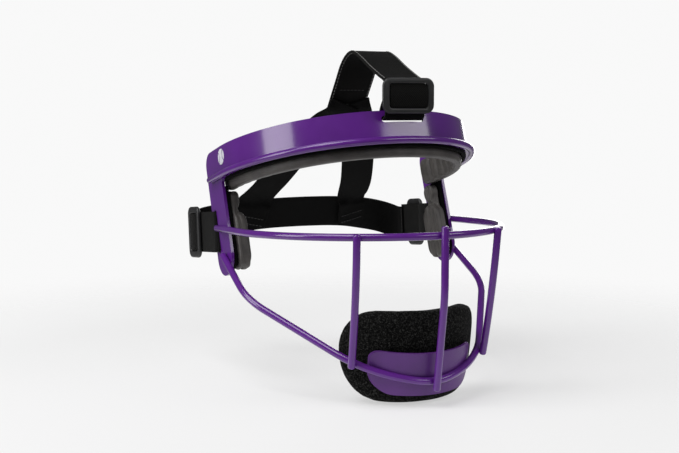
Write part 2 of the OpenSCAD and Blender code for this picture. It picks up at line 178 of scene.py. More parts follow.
finishes = {
    "glossPurple": {"light": (0.112, 0.015, 0.245), "dark": (0.098, 0.012, 0.215), "patch": 40,
                    "rough": 0.3, "coat": 1.0, "coatRough": 0.13, "peel": 700, "peelDepth": 0.05},
    "satinPurple": {"light": (0.105, 0.021, 0.2), "dark": (0.09, 0.017, 0.175), "patch": 60,
                    "rough": 0.48, "coat": 0.25, "coatRough": 0.3, "peel": 900, "peelDepth": 0.1},
    "badgeWhite": {"light": (0.8, 0.8, 0.84), "dark": (0.7, 0.7, 0.76), "patch": 300,
                   "rough": 0.4, "coat": 0.3, "coatRough": 0.2, "peel": 1500, "peelDepth": 0.1},
    "satinBlack": {"light": (0.02, 0.02, 0.021), "dark": (0.013, 0.013, 0.014), "patch": 120,
                   "rough": 0.42, "coat": 0.0, "coatRough": 0.3, "peel": 2600, "peelDepth": 0.12},
    "grayFoam": {"light": (0.085, 0.078, 0.072), "dark": (0.055, 0.05, 0.047), "patch": 90,
                 "rough": 0.46, "coat": 0.0, "coatRough": 0.3, "peel": 1900, "peelDepth": 0.3},
}
# the light colour of each weave is a painted highlight on the thread crests of the black cloth
clothes = {
    "webbing": {"light": (0.03, 0.029, 0.027), "dark": (0.001, 0.001, 0.001), "twill": 1.5,
                "weft": 0.8, "depth": 0.16, "sheen": 0.03},
    "elastic": {"light": (0.008, 0.0075, 0.007), "dark": (0.001, 0.001, 0.001), "twill": 1.1,
                "weft": 0.7, "depth": 0.12, "sheen": 0.02},
}
piles = {
    "loopCloth": {"light": (0.04, 0.04, 0.038), "dark": (0.0008, 0.0008, 0.0008), "loops": 1250,
                  "clumps": 620, "depth": 0.6, "sheen": 0.04},
    "blackFelt": {"light": (0.009, 0.009, 0.009), "dark": (0.003, 0.003, 0.003), "loops": 1800,
                  "clumps": 300, "depth": 0.3, "sheen": 0.03},
    "hookTape": {"light": (0.02, 0.02, 0.02), "dark": (0.003, 0.003, 0.003), "loops": 900,
                 "clumps": 500, "depth": 0.7, "sheen": 0.05},
}
threads = {
    # this thread's light grey is a painted highlight of the strap edges catching the light
    "edgeHighlightThread": {"light": (0.24, 0.24, 0.23), "dark": (0.1, 0.1, 0.095), "twist": 2400,
                   "depth": 0.05},
    "blackThread": {"light": (0.035, 0.035, 0.034), "dark": (0.01, 0.01, 0.01), "twist": 2400,
                    "depth": 0.05},
}


def newMaterial(name):
    paint = bpy.data.materials.new(name)
    paint.use_nodes = True
    return paint, paint.node_tree.nodes, paint.node_tree.links


def twoColours(nodes, links, source, dark, light, low, high):
    ramp = nodes.new("ShaderNodeValToRGB")
    ramp.color_ramp.elements[0].position = low
    ramp.color_ramp.elements[0].color = (*dark, 1)
    ramp.color_ramp.elements[1].position = high
    ramp.color_ramp.elements[1].color = (*light, 1)
    links.new(source, ramp.inputs["Fac"])
    return ramp.outputs["Color"]


def raised(nodes, links, source, surface, depth):
    bump = nodes.new("ShaderNodeBump")
    bump.inputs["Strength"].default_value = 0.7
    bump.inputs["Distance"].default_value = depth * mm
    links.new(source, bump.inputs["Height"])
    links.new(bump.outputs["Normal"], surface.inputs["Normal"])


def noise(nodes, links, place, scale, detail):
    cloud = nodes.new("ShaderNodeTexNoise")
    cloud.inputs["Scale"].default_value = scale
    cloud.inputs["Detail"].default_value = detail
    links.new(place, cloud.inputs["Vector"])
    return cloud.outputs["Fac"]


def paintMaterial(name, look):               # coated steel, moulded plastic and foam
    paint, nodes, links = newMaterial(name)
    surface = nodes["Principled BSDF"]
    surface.inputs["Coat Weight"].default_value = look["coat"]
    surface.inputs["Coat Roughness"].default_value = look["coatRough"]
    surface.inputs["Specular IOR Level"].default_value = 0.5 - 0.35 * look["coat"]
    place = nodes.new("ShaderNodeTexCoord").outputs["Object"]
    patches = noise(nodes, links, place, look["patch"], 3)
    links.new(twoColours(nodes, links, patches, look["dark"], look["light"], 0.35, 0.65),
              surface.inputs["Base Color"])
    rough = nodes.new("ShaderNodeMapRange")
    rough.inputs["To Min"].default_value = look["rough"] - 0.05
    rough.inputs["To Max"].default_value = look["rough"] + 0.05
    links.new(noise(nodes, links, place, look["patch"] * 4, 4), rough.inputs["Value"])
    links.new(rough.outputs["Result"], surface.inputs["Roughness"])
    raised(nodes, links, noise(nodes, links, place, look["peel"], 2), surface, look["peelDepth"])
    return paint


def bands(nodes, links, place, spacing, along):
    wave = nodes.new("ShaderNodeTexWave")
    wave.bands_direction = along
    wave.inputs["Scale"].default_value = 0.2 * math.pi / (spacing * mm)
    wave.inputs["Distortion"].default_value = 0.6
    wave.inputs["Detail"].default_value = 1
    links.new(place, wave.inputs["Vector"])
    return wave.outputs["Fac"]


def clothMaterial(name, look):               # woven webbing, its weave laid on the strap's own map
    paint, nodes, links = newMaterial(name)
    surface = nodes["Principled BSDF"]
    surface.inputs["Roughness"].default_value = 0.85
    surface.inputs["Sheen Weight"].default_value = look["sheen"]
    surface.inputs["Sheen Roughness"].default_value = 0.4
    surface.inputs["Specular IOR Level"].default_value = 0.12
    place = nodes.new("ShaderNodeUVMap").outputs["UV"]
    twill = bands(nodes, links, place, look["twill"], "DIAGONAL")
    weft = bands(nodes, links, place, look["weft"], "X")
    weave = nodes.new("ShaderNodeMath")
    weave.operation = "MULTIPLY"
    links.new(twill, weave.inputs[0])
    links.new(weft, weave.inputs[1])
    # the weave's raised crests take the light colour, so they carry a painted highlight over the
    # black cloth
    links.new(twoColours(nodes, links, weave.outputs[0], look["dark"], look["light"], 0.3, 1.0),
              surface.inputs["Base Color"])
    raised(nodes, links, weave.outputs[0], surface, look["depth"])
    return paint


def pileMaterial(name, look):                # loop cloth, felt and hook tape
    paint, nodes, links = newMaterial(name)
    surface = nodes["Principled BSDF"]
    surface.inputs["Roughness"].default_value = 0.95
    surface.inputs["Sheen Weight"].default_value = look["sheen"]
    surface.inputs["Sheen Roughness"].default_value = 0.35
    surface.inputs["Specular IOR Level"].default_value = 0.08
    place = nodes.new("ShaderNodeTexCoord").outputs["Object"]
    loops = nodes.new("ShaderNodeTexVoronoi")
    loops.inputs["Scale"].default_value = look["loops"]
    links.new(place, loops.inputs["Vector"])
    clumps = noise(nodes, links, place, look["clumps"], 5)
    blend = nodes.new("ShaderNodeMath")
    blend.operation = "MULTIPLY"
    links.new(loops.outputs["Distance"], blend.inputs[0])
    links.new(clumps, blend.inputs[1])
    links.new(twoColours(nodes, links, blend.outputs[0], look["dark"], look["light"], 0.2, 0.55),
              surface.inputs["Base Color"])
    raised(nodes, links, blend.outputs[0], surface, look["depth"])
    return paint


def threadMaterial(name, look):
    paint, nodes, links = newMaterial(name)
    surface = nodes["Principled BSDF"]
    surface.inputs["Roughness"].default_value = 0.6
    place = nodes.new("ShaderNodeTexCoord").outputs["Object"]
    twist = noise(nodes, links, place, look["twist"], 2)
    links.new(twoColours(nodes, links, twist, look["dark"], look["light"], 0.3, 0.7),
              surface.inputs["Base Color"])
    raised(nodes, links, twist, surface, look["depth"])
    return paint


materials = {name: paintMaterial(name, look) for name, look in finishes.items()}
materials.update({name: clothMaterial(name, look) for name, look in clothes.items()})
materials.update({name: pileMaterial(name, look) for name, look in piles.items()})
materials.update({name: threadMaterial(name, look) for name, look in threads.items()})


# Bench tools

hairline = 0.05                              # full rounds stop short, and stitches stand off


def pick(piece):
    clearSelection()
    piece.select_set(True)
    bpy.context.view_layer.objects.active = piece


def editing(piece):
    pick(piece)
    bpy.ops.object.mode_set(mode="EDIT")
    bpy.ops.mesh.select_mode(type="VERT")
    bpy.ops.mesh.select_all(action="SELECT")


def doneEditing():
    bpy.ops.object.mode_set(mode="OBJECT")


def modify(piece, kind, **settings):
    pick(piece)
    change = piece.modifiers.new(kind.lower(), kind)
    for setting, value in settings.items():
        setattr(change, setting, value)
    bpy.ops.object.modifier_apply(modifier=change.name)


def settle(piece, place=None):               # the piece's place goes into its mesh
    pick(piece)
    if place is not None:
        piece.matrix_world = place @ piece.matrix_world
    bpy.ops.object.transform_apply(location=True, rotation=True, scale=True)


def cleanUp(piece):
    editing(piece)
    bpy.ops.mesh.remove_doubles(threshold=0.00001)
    bpy.ops.mesh.normals_make_consistent(inside=False)
    doneEditing()


def smooth(piece, angle=35):
    pick(piece)
    bpy.ops.object.shade_smooth_by_angle(angle=math.radians(angle))


def roundEdges(piece, width, segments=3, angle=40):
    modify(piece, "BEVEL", width=width * mm, segments=segments, limit_method="ANGLE",
           angle_limit=math.radians(angle), use_clamp_overlap=True)


def selectEdges(piece, test):                # in edit mode, the edges whose ends both pass
    bpy.ops.mesh.select_mode(type="EDGE")
    bpy.ops.mesh.select_all(action="DESELECT")
    bpy.ops.object.mode_set(mode="OBJECT")
    mesh = piece.data
    for edge in mesh.edges:
        a, b = (mesh.vertices[i].co / mm for i in edge.vertices)
        edge.select = bool(test(a, b))
    bpy.ops.object.mode_set(mode="EDIT")


def bevelEdges(piece, test, radius, segments=10):
    editing(piece)
    selectEdges(piece, test)
    bpy.ops.mesh.bevel(offset=radius * mm, segments=segments, affect="EDGES")
    doneEditing()


def block(name, size, centre):
    clearSelection()
    bpy.ops.mesh.primitive_cube_add(size=1, location=Vector(centre) * mm)
    piece = bpy.context.object
    piece.name = name
    piece.scale = Vector(size) * mm
    settle(piece)
    return piece


def combine(piece, other, operation):
    modify(piece, "BOOLEAN", operation=operation, solver="EXACT", object=other)
    bpy.data.objects.remove(other)


def facing(heading, up):                     # a primitive's Z along heading, its Y along up
    return Matrix((up.cross(heading), up, heading)).transposed().to_euler()


def follow(runs, place, heading, normal, degrees=1.5):
    for radius, amount in runs:
        if radius == 0:
            step = heading * amount * mm
            bpy.ops.mesh.extrude_region_move(TRANSFORM_OT_translate={"value": step})
            place = place + step
        else:
            centre = place + normal.cross(heading) * radius * mm
            bpy.ops.mesh.spin(steps=max(2, round(amount / degrees)), axis=normal, center=centre,
                              angle=-math.radians(amount))
            turn = Matrix.Rotation(math.radians(amount), 3, normal)
            place = centre + turn @ (place - centre)
            heading = turn @ heading


def giveTo(piece, material, slot, body, *nodes):
    piece.data.materials.clear()
    piece.data.materials.append(materials[material])
    if body:
        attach(piece, body)
    if nodes:
        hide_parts(*nodes)


def copyAcross(piece, name):                 # the same piece on the other side of the mask
    pick(piece)
    bpy.ops.object.duplicate()
    other = bpy.context.object
    other.name = name
    other.scale.x = -1
    settle(other)
    editing(other)
    bpy.ops.mesh.normals_make_consistent(inside=False)
    doneEditing()
    return other


# The stamped frame and its wires

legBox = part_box("frame_plate")
legSpan = (legBox[1].x - legBox[0].x) / mm
plate = {"sheet": 2, "lean": 20.3, "reach": 106, "frontRadius": 82, "frontTurn": 57,
         "legFront": 1, "legRear": 29, "legLow": -29, "bandLow": 37.6, "bandHeight": 22,
         "rise": 0.112, "topCorner": 11, "innerCorner": 4, "edge": 0.55,
         "browSlot": (31, 4.5, 39.8), "legSlot": (5, 31, 19.8, -11)}
sheetMid = legSpan / 2 - plate["sheet"] / 2
frontSine = math.sin(math.radians(plate["frontTurn"]))
frontCosine = math.cos(math.radians(plate["frontTurn"]))
sideRadius = (sheetMid - plate["frontRadius"] * frontSine) / (1 - frontSine)
sideCentreY = (plate["frontRadius"] - plate["reach"]
               - (plate["frontRadius"] - sideRadius) * frontCosine)
leaning = Matrix.Rotation(-math.radians(plate["lean"]), 4, "X")


def planWall(name, out, thick, low, high, rear, degrees=1.0):
    heading = -yAxis
    start = Vector((-sheetMid - out, rear, (low + high) / 2)) * mm
    clearSelection()
    bpy.ops.mesh.primitive_plane_add(size=1, location=start, rotation=facing(heading, zAxis))
    wall = bpy.context.object
    wall.name = name
    wall.scale = (thick * mm, (high - low) * mm, 1)
    settle(wall)
    turn = plate["frontTurn"]
    half = [(sideRadius + out, 90 - turn), (plate["frontRadius"] + out, turn)]
    tail = [(0, rear - sideCentreY)]
    editing(wall)
    follow(tail + half + half[::-1] + tail, start, heading, zAxis, degrees)
    doneEditing()
    cleanUp(wall)
    return wall


def slopeWith(piece, rise, origin=0, test=lambda point: True):
    for vertex in piece.data.vertices:
        if test(vertex.co / mm):
            vertex.co.z += rise * (vertex.co.y - origin * mm)


def makeFramePlate():
    p = plate
    top = p["bandLow"] + p["bandHeight"]
    wall = planWall("framePlate", 0, p["sheet"], p["legLow"], top + 8, p["legRear"])
    under = block("underBand", (260, 240, 120),
                  (0, p["legFront"] - 120, p["bandLow"] + p["rise"] * p["legFront"] - 60))
    slopeWith(under, p["rise"], p["legFront"], lambda point: point.z > 0)
    bevelEdges(under, lambda a, b: min(a.y, b.y) > 0 and min(a.z, b.z) > 0, p["innerCorner"])
    combine(wall, under, "DIFFERENCE")
    editing(wall)
    bpy.ops.mesh.bisect(plane_co=(0, 0, top * mm), plane_no=(0, -p["rise"], 1),
                        use_fill=True, clear_outer=True)
    doneEditing()
    cleanUp(wall)
    atRear = lambda v: abs(v.y - p["legRear"]) < 0.01
    bevelEdges(wall, lambda a, b: atRear(a) and atRear(b) and min(a.z, b.z) > 50
               and abs(a.z - b.z) < 0.01, p["topCorner"])
    atFoot = lambda v: abs(v.z - p["legLow"]) < 0.01
    bevelEdges(wall, lambda a, b: atFoot(a) and atFoot(b) and abs(a.y - b.y) < 0.01,
               (p["legRear"] - p["legFront"]) / 2 - hairline, 14)
    width, height, low = p["browSlot"]
    slot = block("browSlot", (width, 60, height), (0, -p["reach"], low + height / 2))
    bevelEdges(slot, lambda a, b: abs(a.y - b.y) > 1, height / 2 - hairline, 6)
    combine(wall, slot, "DIFFERENCE")
    width, height, front, low = p["legSlot"]
    slot = block("legSlot", (260, width, height), (0, front + width / 2, low + height / 2))
    bevelEdges(slot, lambda a, b: abs(a.x - b.x) > 1, width / 2 - hairline, 6)
    combine(wall, slot, "DIFFERENCE")
    roundEdges(wall, p["edge"])
    settle(wall, leaning)
    smooth(wall, 30)
    modify(wall, "WEIGHTED_NORMAL", keep_sharp=True)
    giveTo(wall, "glossPurple", "purple_coat", "mask", "frame_plate")


wire = {"thick": 4.8, "weld": 0.3, "sides": 28, "tip": 1.3}
browWire = {"tilt": 13.8, "height": 40.1, "reach": 95.8, "end": 34}
crossWire = {"tilt": 2, "reach": 134.8, "turn": 26, "frontRadius": 70, "end": 19}
lowerWire = {"slope": 27.5, "height": -22, "reach": 143, "nose": (36, 20), "front": (82, 38.7),
             "side": 53, "end": 8}
bars = {"centre": {"top": 11, "runs": [(0, 35), (130, 8.3), (0, 51.5)]},
        "side": {"place": (51.1, -120.4, 6.5), "lean": 4.25, "inward": 1.7, "runs": [(600, 8.3)]}}
legWireX = legSpan / 2 + wire["thick"] / 2 - wire["weld"]


def bentWire(name, start, heading, normal, runs, degrees=1.5):
    clearSelection()
    bpy.ops.mesh.primitive_circle_add(
        vertices=wire["sides"], radius=wire["thick"] / 2 * mm, fill_type="NGON",
        location=start * mm, rotation=facing(heading, normal))
    rod = bpy.context.object
    rod.name = name
    settle(rod)
    editing(rod)
    follow(runs, start * mm, heading, normal, degrees)
    doneEditing()
    cleanUp(rod)
    roundEdges(rod, wire["tip"], 4, 60)
    smooth(rod)
    return rod


def hoop(name, tilt, height, half, endX, endY, node):
    plane = Matrix.Rotation(math.radians(tilt), 3, "X")
    start = plane @ Vector((-endX, endY, 0)) + zAxis * height
    rod = bentWire(name, start, plane @ -yAxis, plane @ zAxis, half[::-1] + half)
    giveTo(rod, "glossPurple", "purple_coat", "mask", node)


def makeWires():
    sine = lambda angle: math.sin(math.radians(angle))
    cosine = lambda angle: math.cos(math.radians(angle))
    w, turn = browWire, plate["frontTurn"]
    out = plate["sheet"] / 2 + wire["thick"] / 2 - wire["weld"]
    front, side = plate["frontRadius"] + out, sideRadius + out
    straight = w["end"] + w["reach"] - front * (1 - cosine(turn)) - side * cosine(turn)
    hoop("browWire", -w["tilt"], w["height"], [(front, turn), (side, 90 - turn), (0, straight)],
         sheetMid + out, w["end"], "brow_wire")
    w, turn = crossWire, crossWire["turn"]
    side = (legWireX - w["frontRadius"] * sine(turn)) / (1 - sine(turn))
    straight = (w["end"] + w["reach"] - w["frontRadius"] * (1 - cosine(turn))
                - side * cosine(turn))
    hoop("crossWire", -w["tilt"], 0, [(w["frontRadius"], turn), (side, 90 - turn), (0, straight)],
         legWireX, w["end"], "cross_wire")
    w = lowerWire
    (noseRadius, noseTurn), (frontRadius, frontTurn) = w["nose"], w["front"]
    turn = noseTurn + frontTurn
    flank = (legWireX - noseRadius * sine(noseTurn) - frontRadius * (sine(turn) - sine(noseTurn))
             - w["side"] * (1 - sine(turn))) / cosine(turn)
    sideY = (-w["reach"] + noseRadius * (1 - cosine(noseTurn))
             + frontRadius * (cosine(noseTurn) - cosine(turn)) + flank * sine(turn)
             + w["side"] * cosine(turn))
    hoop("lowerWire", w["slope"], w["height"],
         [w["nose"], w["front"], (0, flank), (w["side"], 90 - turn), (0, w["end"] - sideY)],
         legWireX, w["end"], "lower_wire")


def makeBars():
    start = Vector((0, -crossWire["reach"] - wire["thick"] + wire["weld"], bars["centre"]["top"]))
    rod = bentWire("centreBar", start, -zAxis, xAxis, bars["centre"]["runs"], 0.7)
    giveTo(rod, "glossPurple", "purple_coat", "mask", "centre_bar")
    b = bars["side"]
    lean = (Matrix.Rotation(math.radians(b["inward"]), 3, "Y")
            @ Matrix.Rotation(math.radians(b["lean"]), 3, "X"))
    rod = bentWire("leftBar", Vector(b["place"]), lean @ -zAxis, lean @ xAxis, b["runs"], 0.5)
    other = copyAcross(rod, "rightBar")
    giveTo(rod, "glossPurple", "purple_coat", "mask", "left_bar")
    giveTo(other, "glossPurple", "purple_coat", "mask", "right_bar")


# The chin plate, its hook tape and the chin pad

chin = {"place": (0, -124.6, -88), "lean": 8}
chinPlate = {"radius": 47.8, "sheet": 1.6, "wide": 73, "high": 28, "up": 18, "turn": 66,
             "topCorner": 6, "lowCorner": 13}
chinTape = {"thick": 1.2, "turn": 33, "high": 20, "below": 4}
chinPad = {"radius": 57, "gap": 6.4, "halfWide": 63.5, "up": 39, "high": 58, "deep": 15,
           "slack": 1.8, "rise": 4.5, "drop": 2, "bowFrom": 0.4, "play": 0.4,
           "topCorner": 22, "lowCorner": 33, "voxel": 2.6, "cap": 4}
chinPlace = (Matrix.Translation(Vector(chin["place"]) * mm)
             @ Matrix.Rotation(math.radians(chin["lean"]), 4, "X"))


def arcWall(name, radius, thick, turn, low, high, outer):
    middle = radius - thick / 2
    turned = math.radians(turn)
    start = Vector((-middle * math.sin(turned), outer - middle * math.cos(turned),
                    (low + high) / 2)) * mm
    heading = Vector((math.cos(turned), -math.sin(turned), 0))
    clearSelection()
    bpy.ops.mesh.primitive_plane_add(size=1, location=start, rotation=facing(heading, zAxis))
    wall = bpy.context.object
    wall.name = name
    wall.scale = (thick * mm, (high - low) * mm, 1)
    settle(wall)
    editing(wall)
    follow([(middle, 2 * turn)], start, heading, zAxis)
    doneEditing()
    cleanUp(wall)
    return wall


def roundedBlock(name, wide, low, high, topCorner, lowCorner, deep=400, y=0):
    piece = block(name, (wide, deep, high - low), (0, y, (low + high) / 2))
    middle = (low + high) / 2
    alongY = lambda a, b: abs(a.y - b.y) > 1
    bevelEdges(piece, lambda a, b: alongY(a, b) and a.z > middle, topCorner)
    bevelEdges(piece, lambda a, b: alongY(a, b) and a.z < middle, lowCorner)
    return piece


def makeChinPlate():
    p = chinPlate
    low = p["up"] - p["high"]
    wall = arcWall("chinPlate", p["radius"], p["sheet"], p["turn"], low - 1, p["up"] + 1,
                   p["radius"])
    shape = roundedBlock("chinOutline", p["wide"], low, p["up"], p["topCorner"], p["lowCorner"])
    combine(wall, shape, "INTERSECT")
    roundEdges(wall, 0.5)
    settle(wall, chinPlace)
    smooth(wall, 30)
    modify(wall, "WEIGHTED_NORMAL", keep_sharp=True)
    giveTo(wall, "satinPurple", "chin_coat", "mask", "chin_plate")


def makeChinTape():
    t = chinTape
    high = chinPlate["up"] - t["below"]
    radius = chinPlate["radius"] - chinPlate["sheet"]
    tape = arcWall("chinHookTape", radius, t["thick"], t["turn"], high - t["high"], high,
                   chinPlate["radius"])
    roundEdges(tape, 0.3)
    settle(tape, chinPlace)
    smooth(tape)
    giveTo(tape, "hookTape", "hook_tape", "mask", "chin_hook_tape")


def puffUp(piece, cap, pressure=4, frames=20):
    rest = [vertex.co.copy() for vertex in piece.data.vertices]
    pick(piece)
    cloth = piece.modifiers.new("cloth", "CLOTH")
    cloth.settings.use_pressure = True
    cloth.settings.uniform_pressure_force = pressure
    cloth.settings.effector_weights.gravity = 0
    cloth.point_cache.frame_end = frames
    for step in range(1, frames + 1):
        bpy.context.scene.frame_set(step)
    bpy.ops.object.modifier_apply(modifier="cloth")
    bpy.context.scene.frame_set(1)
    for vertex, before in zip(piece.data.vertices, rest):
        moved = vertex.co - before
        if moved.length > cap * mm:
            vertex.co = before + moved.normalized() * cap * mm


def makeChinPad():
    p = chinPad
    low = p["up"] - p["high"]
    deep = p["deep"] - p["slack"]
    pad = roundedBlock("chinPad", 2 * p["halfWide"], low, p["up"], p["topCorner"],
                       p["lowCorner"], deep, p["deep"] / 2)
    roundEdges(pad, 4.5, 4, 50)
    modify(pad, "REMESH", mode="VOXEL", voxel_size=p["voxel"] * mm)
    modify(pad, "SMOOTH", factor=0.5, iterations=4)
    for vertex in pad.data.vertices:         # the flat pad is rolled round the chin
        inward = vertex.co.y
        angle = vertex.co.x / (p["radius"] * mm)
        share = max(0, (vertex.co.z / mm - low) / p["high"] - p["bowFrom"]) / (1 - p["bowFrom"])
        bow = p["rise"] - (p["rise"] + p["drop"]) * (vertex.co.x / mm / p["halfWide"]) ** 2
        vertex.co.z += share * bow * mm
        reach = p["radius"] * mm - inward
        vertex.co.x = reach * math.sin(angle)
        vertex.co.y = (p["gap"] + p["radius"]) * mm - reach * math.cos(angle)
    puffUp(pad, p["cap"])
    modify(pad, "SMOOTH", factor=0.4, iterations=2)
    centreY = (p["gap"] + p["radius"]) * mm
    most = (p["radius"] + p["play"]) * mm
    for vertex in pad.data.vertices:         # its front stays clear of the plate
        away = math.hypot(vertex.co.x, vertex.co.y - centreY)
        if away > most:
            vertex.co.x *= most / away
            vertex.co.y = centreY + (vertex.co.y - centreY) * most / away
    modify(pad, "SUBSURF", levels=1, render_levels=1)
    settle(pad, chinPlace)
    smooth(pad, 80)
    giveTo(pad, "loopCloth", "loop_cloth", "chin_cushion", "chin_pad")


# Forehead and side pads

layers = {"backing": 3, "gap": 0.3, "browFoam": 8, "sideFoam": 9}
browPad = {"low": -8, "high": 20, "rear": 14, "squareness": 4, "points": 40, "endRound": 6,
           "groove": 1.8, "grooveWide": 1.3, "grooveAt": -1.5,
           "seam": 1.1, "seamWide": 0.9, "seamAt": -6.2, "tip": 0.12, "tailSteps": 12,
           "ribsFrom": -60, "ribs": (-46, -35, -24, -13, -2), "ribWide": 1.7, "ribDeep": 2.2}
browBacking = {"low": -2, "high": 15, "rear": 14}
sideBacking = {"front": 2, "rear": 19, "low": -26, "high": 32, "corner": 8}
sidePad = {"lobeRadius": 10, "lobeY": 8.5, "lobeLow": -17, "lobeHigh": 4, "neck": 5,
           "smallRadius": 6.5, "smallZ": 23.4, "voxel": 0.9, "groove": 2.2, "grooveWide": 1.3,
           "seam": 1.1, "seamAt": 3.6, "seamWide": 0.8}


def makeBrowBacking():
    b = browBacking
    out = -plate["sheet"] / 2 - layers["backing"] / 2
    strip = planWall("browBacking", out, layers["backing"] - 0.1, plate["bandLow"] + b["low"],
                     plate["bandLow"] + b["low"] + b["high"], b["rear"], 2)
    slopeWith(strip, plate["rise"])
    roundEdges(strip, 0.7)
    settle(strip, leaning)
    smooth(strip)
    giveTo(strip, "blackFelt", "backing", "mask", "brow_backing")


def roundedOutline(wide, high, squareness, points):
    outline = []
    for k in range(points):
        angle = 2 * math.pi * k / points
        x, y = math.cos(angle), math.sin(angle)
        reach = (abs(x) ** squareness + abs(y) ** squareness) ** (-1 / squareness)
        outline.append((x * reach * wide / 2, y * reach * high / 2))
    return outline


def makeBrowPad():
    p = browPad
    out = -plate["sheet"] / 2 - layers["backing"] - layers["gap"] - layers["browFoam"] / 2
    low = plate["bandLow"] + p["low"]
    middle = low + p["high"] / 2
    heading = -yAxis
    start = Vector((-sheetMid - out, p["rear"], middle)) * mm
    clearSelection()
    bpy.ops.mesh.primitive_circle_add(vertices=p["points"], radius=1, fill_type="NGON")
    pad = bpy.context.object
    pad.name = "browPad"
    outline = roundedOutline(layers["browFoam"], p["high"], p["squareness"], p["points"])
    for vertex, (across, up) in zip(pad.data.vertices, outline):
        inner = across > 0                   # a groove inside, and a seam low on the outside
        dent = p["groove"] * math.exp(-((up - p["grooveAt"]) / p["grooveWide"]) ** 2)
        lowDent = p["seam"] * math.exp(-((up - p["seamAt"]) / p["seamWide"]) ** 2)
        across += -dent if inner else lowDent
        vertex.co = (-across * mm, up * mm, 0)
    pad.rotation_euler = facing(heading, zAxis)
    pad.location = start
    settle(pad)
    turn = plate["frontTurn"]
    half = [(sideRadius + out, 90 - turn), (plate["frontRadius"] + out, turn)]
    tail = [(0, (p["rear"] - sideCentreY) / p["tailSteps"])] * p["tailSteps"]
    editing(pad)
    follow(tail + half + half[::-1] + tail, start, heading, zAxis, 0.7)
    doneEditing()
    cleanUp(pad)
    lineX = sheetMid + out
    for vertex in pad.data.vertices:
        x, y, z = vertex.co / mm
        beyond = y - (p["rear"] - p["endRound"])
        if beyond > 0:                       # both ends close in a round lobe
            left = math.sqrt(max(0, 1 - (beyond / p["endRound"]) ** 2))
            keep = p["tip"] + (1 - p["tip"]) * left
            side = math.copysign(lineX, x)
            x, z = side + (x - side) * keep, middle + (z - middle) * keep
        vertex.co = (x * mm, y * mm, (z + plate["rise"] * y) * mm)
    radius = sideRadius + out
    for vertex in pad.data.vertices:         # upright ribs let the pad bend at the temples
        x, y, z = vertex.co / mm
        ahead = min(0, y - sideCentreY)
        middleX = lineX - radius + math.sqrt(max(0, radius ** 2 - ahead ** 2))
        inward = (middleX - abs(x)) / (layers["browFoam"] / 2)
        if p["ribsFrom"] < y < p["rear"] - p["endRound"] and inward > 0:
            dent = sum(math.exp(-((y - rib) / p["ribWide"]) ** 2) for rib in p["ribs"])
            vertex.co.x += math.copysign(p["ribDeep"] * min(inward, 1) * min(dent, 1) * mm, x)
    modify(pad, "SUBSURF", levels=1, render_levels=1)
    settle(pad, leaning)
    smooth(pad, 80)
    giveTo(pad, "grayFoam", "foam", "forehead_pad", "brow_pad")


def makeSideBacking():
    b = sideBacking
    outer = legSpan / 2 - plate["sheet"]
    size = (layers["backing"] - 0.1, b["rear"] - b["front"], b["high"] - b["low"])
    strip = block("leftBacking", size,
                  (outer - layers["backing"] / 2, (b["front"] + b["rear"]) / 2,
                   (b["low"] + b["high"]) / 2))
    bevelEdges(strip, lambda a, v: abs(a.x - v.x) > 1 and a.z < 0, b["corner"])
    roundEdges(strip, 0.7)
    settle(strip, leaning)
    smooth(strip)
    other = copyAcross(strip, "rightBacking")
    giveTo(strip, "blackFelt", "backing", "mask", "left_backing")
    giveTo(other, "blackFelt", "backing", "mask", "right_backing")


def drum(radius, deep, x, y, z):
    clearSelection()
    bpy.ops.mesh.primitive_cylinder_add(vertices=48, radius=radius * mm, depth=deep * mm,
                                        location=Vector((x, y, z)) * mm,
                                        rotation=(0, math.pi / 2, 0))
    return bpy.context.object


def makeSidePads():
    p = sidePad
    outer = legSpan / 2 - plate["sheet"] - layers["backing"] - layers["gap"] - 0.1
    deep = layers["sideFoam"]
    y, span = p["lobeY"], p["lobeHigh"] - p["lobeLow"]
    middle = (p["lobeLow"] + p["lobeHigh"]) / 2
    shapes = [
        drum(p["lobeRadius"], deep, outer - deep / 2, y, p["lobeLow"]),
        drum(p["lobeRadius"], deep, outer - deep / 2, y, p["lobeHigh"]),
        block("lobe", (deep, 2 * p["lobeRadius"], span), (outer - deep / 2, y, middle)),
        block("neck", (p["neck"], 2 * p["smallRadius"] - 2, p["smallZ"] - p["lobeHigh"]),
              (outer - p["neck"] / 2, y, (p["smallZ"] + p["lobeHigh"]) / 2)),
        drum(p["smallRadius"], deep - 2, outer - (deep - 2) / 2, y, p["smallZ"]),
    ]
    clearSelection()
    for shape in shapes:
        shape.select_set(True)
    pad = shapes[0]
    bpy.context.view_layer.objects.active = pad
    bpy.ops.object.join()
    pad.name = "leftPad"
    settle(pad)
    modify(pad, "REMESH", mode="VOXEL", voxel_size=p["voxel"] * mm)
    modify(pad, "SMOOTH", factor=0.5, iterations=22)
    seam = outer - p["seamAt"]
    for vertex in pad.data.vertices:         # a seam runs round the side of the pad
        if abs(vertex.normal.x) < 0.6:
            dent = p["seam"] * math.exp(-((vertex.co.x / mm - seam) / p["seamWide"]) ** 2)
            vertex.co -= vertex.normal * dent * mm
    face = outer - deep / 2
    for vertex in pad.data.vertices:         # a groove splits each lobe from top to bottom
        if vertex.co.x < face * mm:
            offset = vertex.co.y / mm - y
            dent = p["groove"] * math.exp(-(offset / p["grooveWide"]) ** 2)
            dent += 0.7 * math.exp(-((abs(offset) - 6.5) / 1.0) ** 2)
            vertex.co.x += dent * mm
    modify(pad, "SMOOTH", factor=0.4, iterations=2)
    settle(pad, leaning)
    smooth(pad, 80)
    other = copyAcross(pad, "rightPad")
    giveTo(pad, "grayFoam", "foam", "left_side_pad", "left_pad")
    giveTo(other, "grayFoam", "foam", "right_side_pad", "right_pad")


# Webbing, elastic and the adjusters

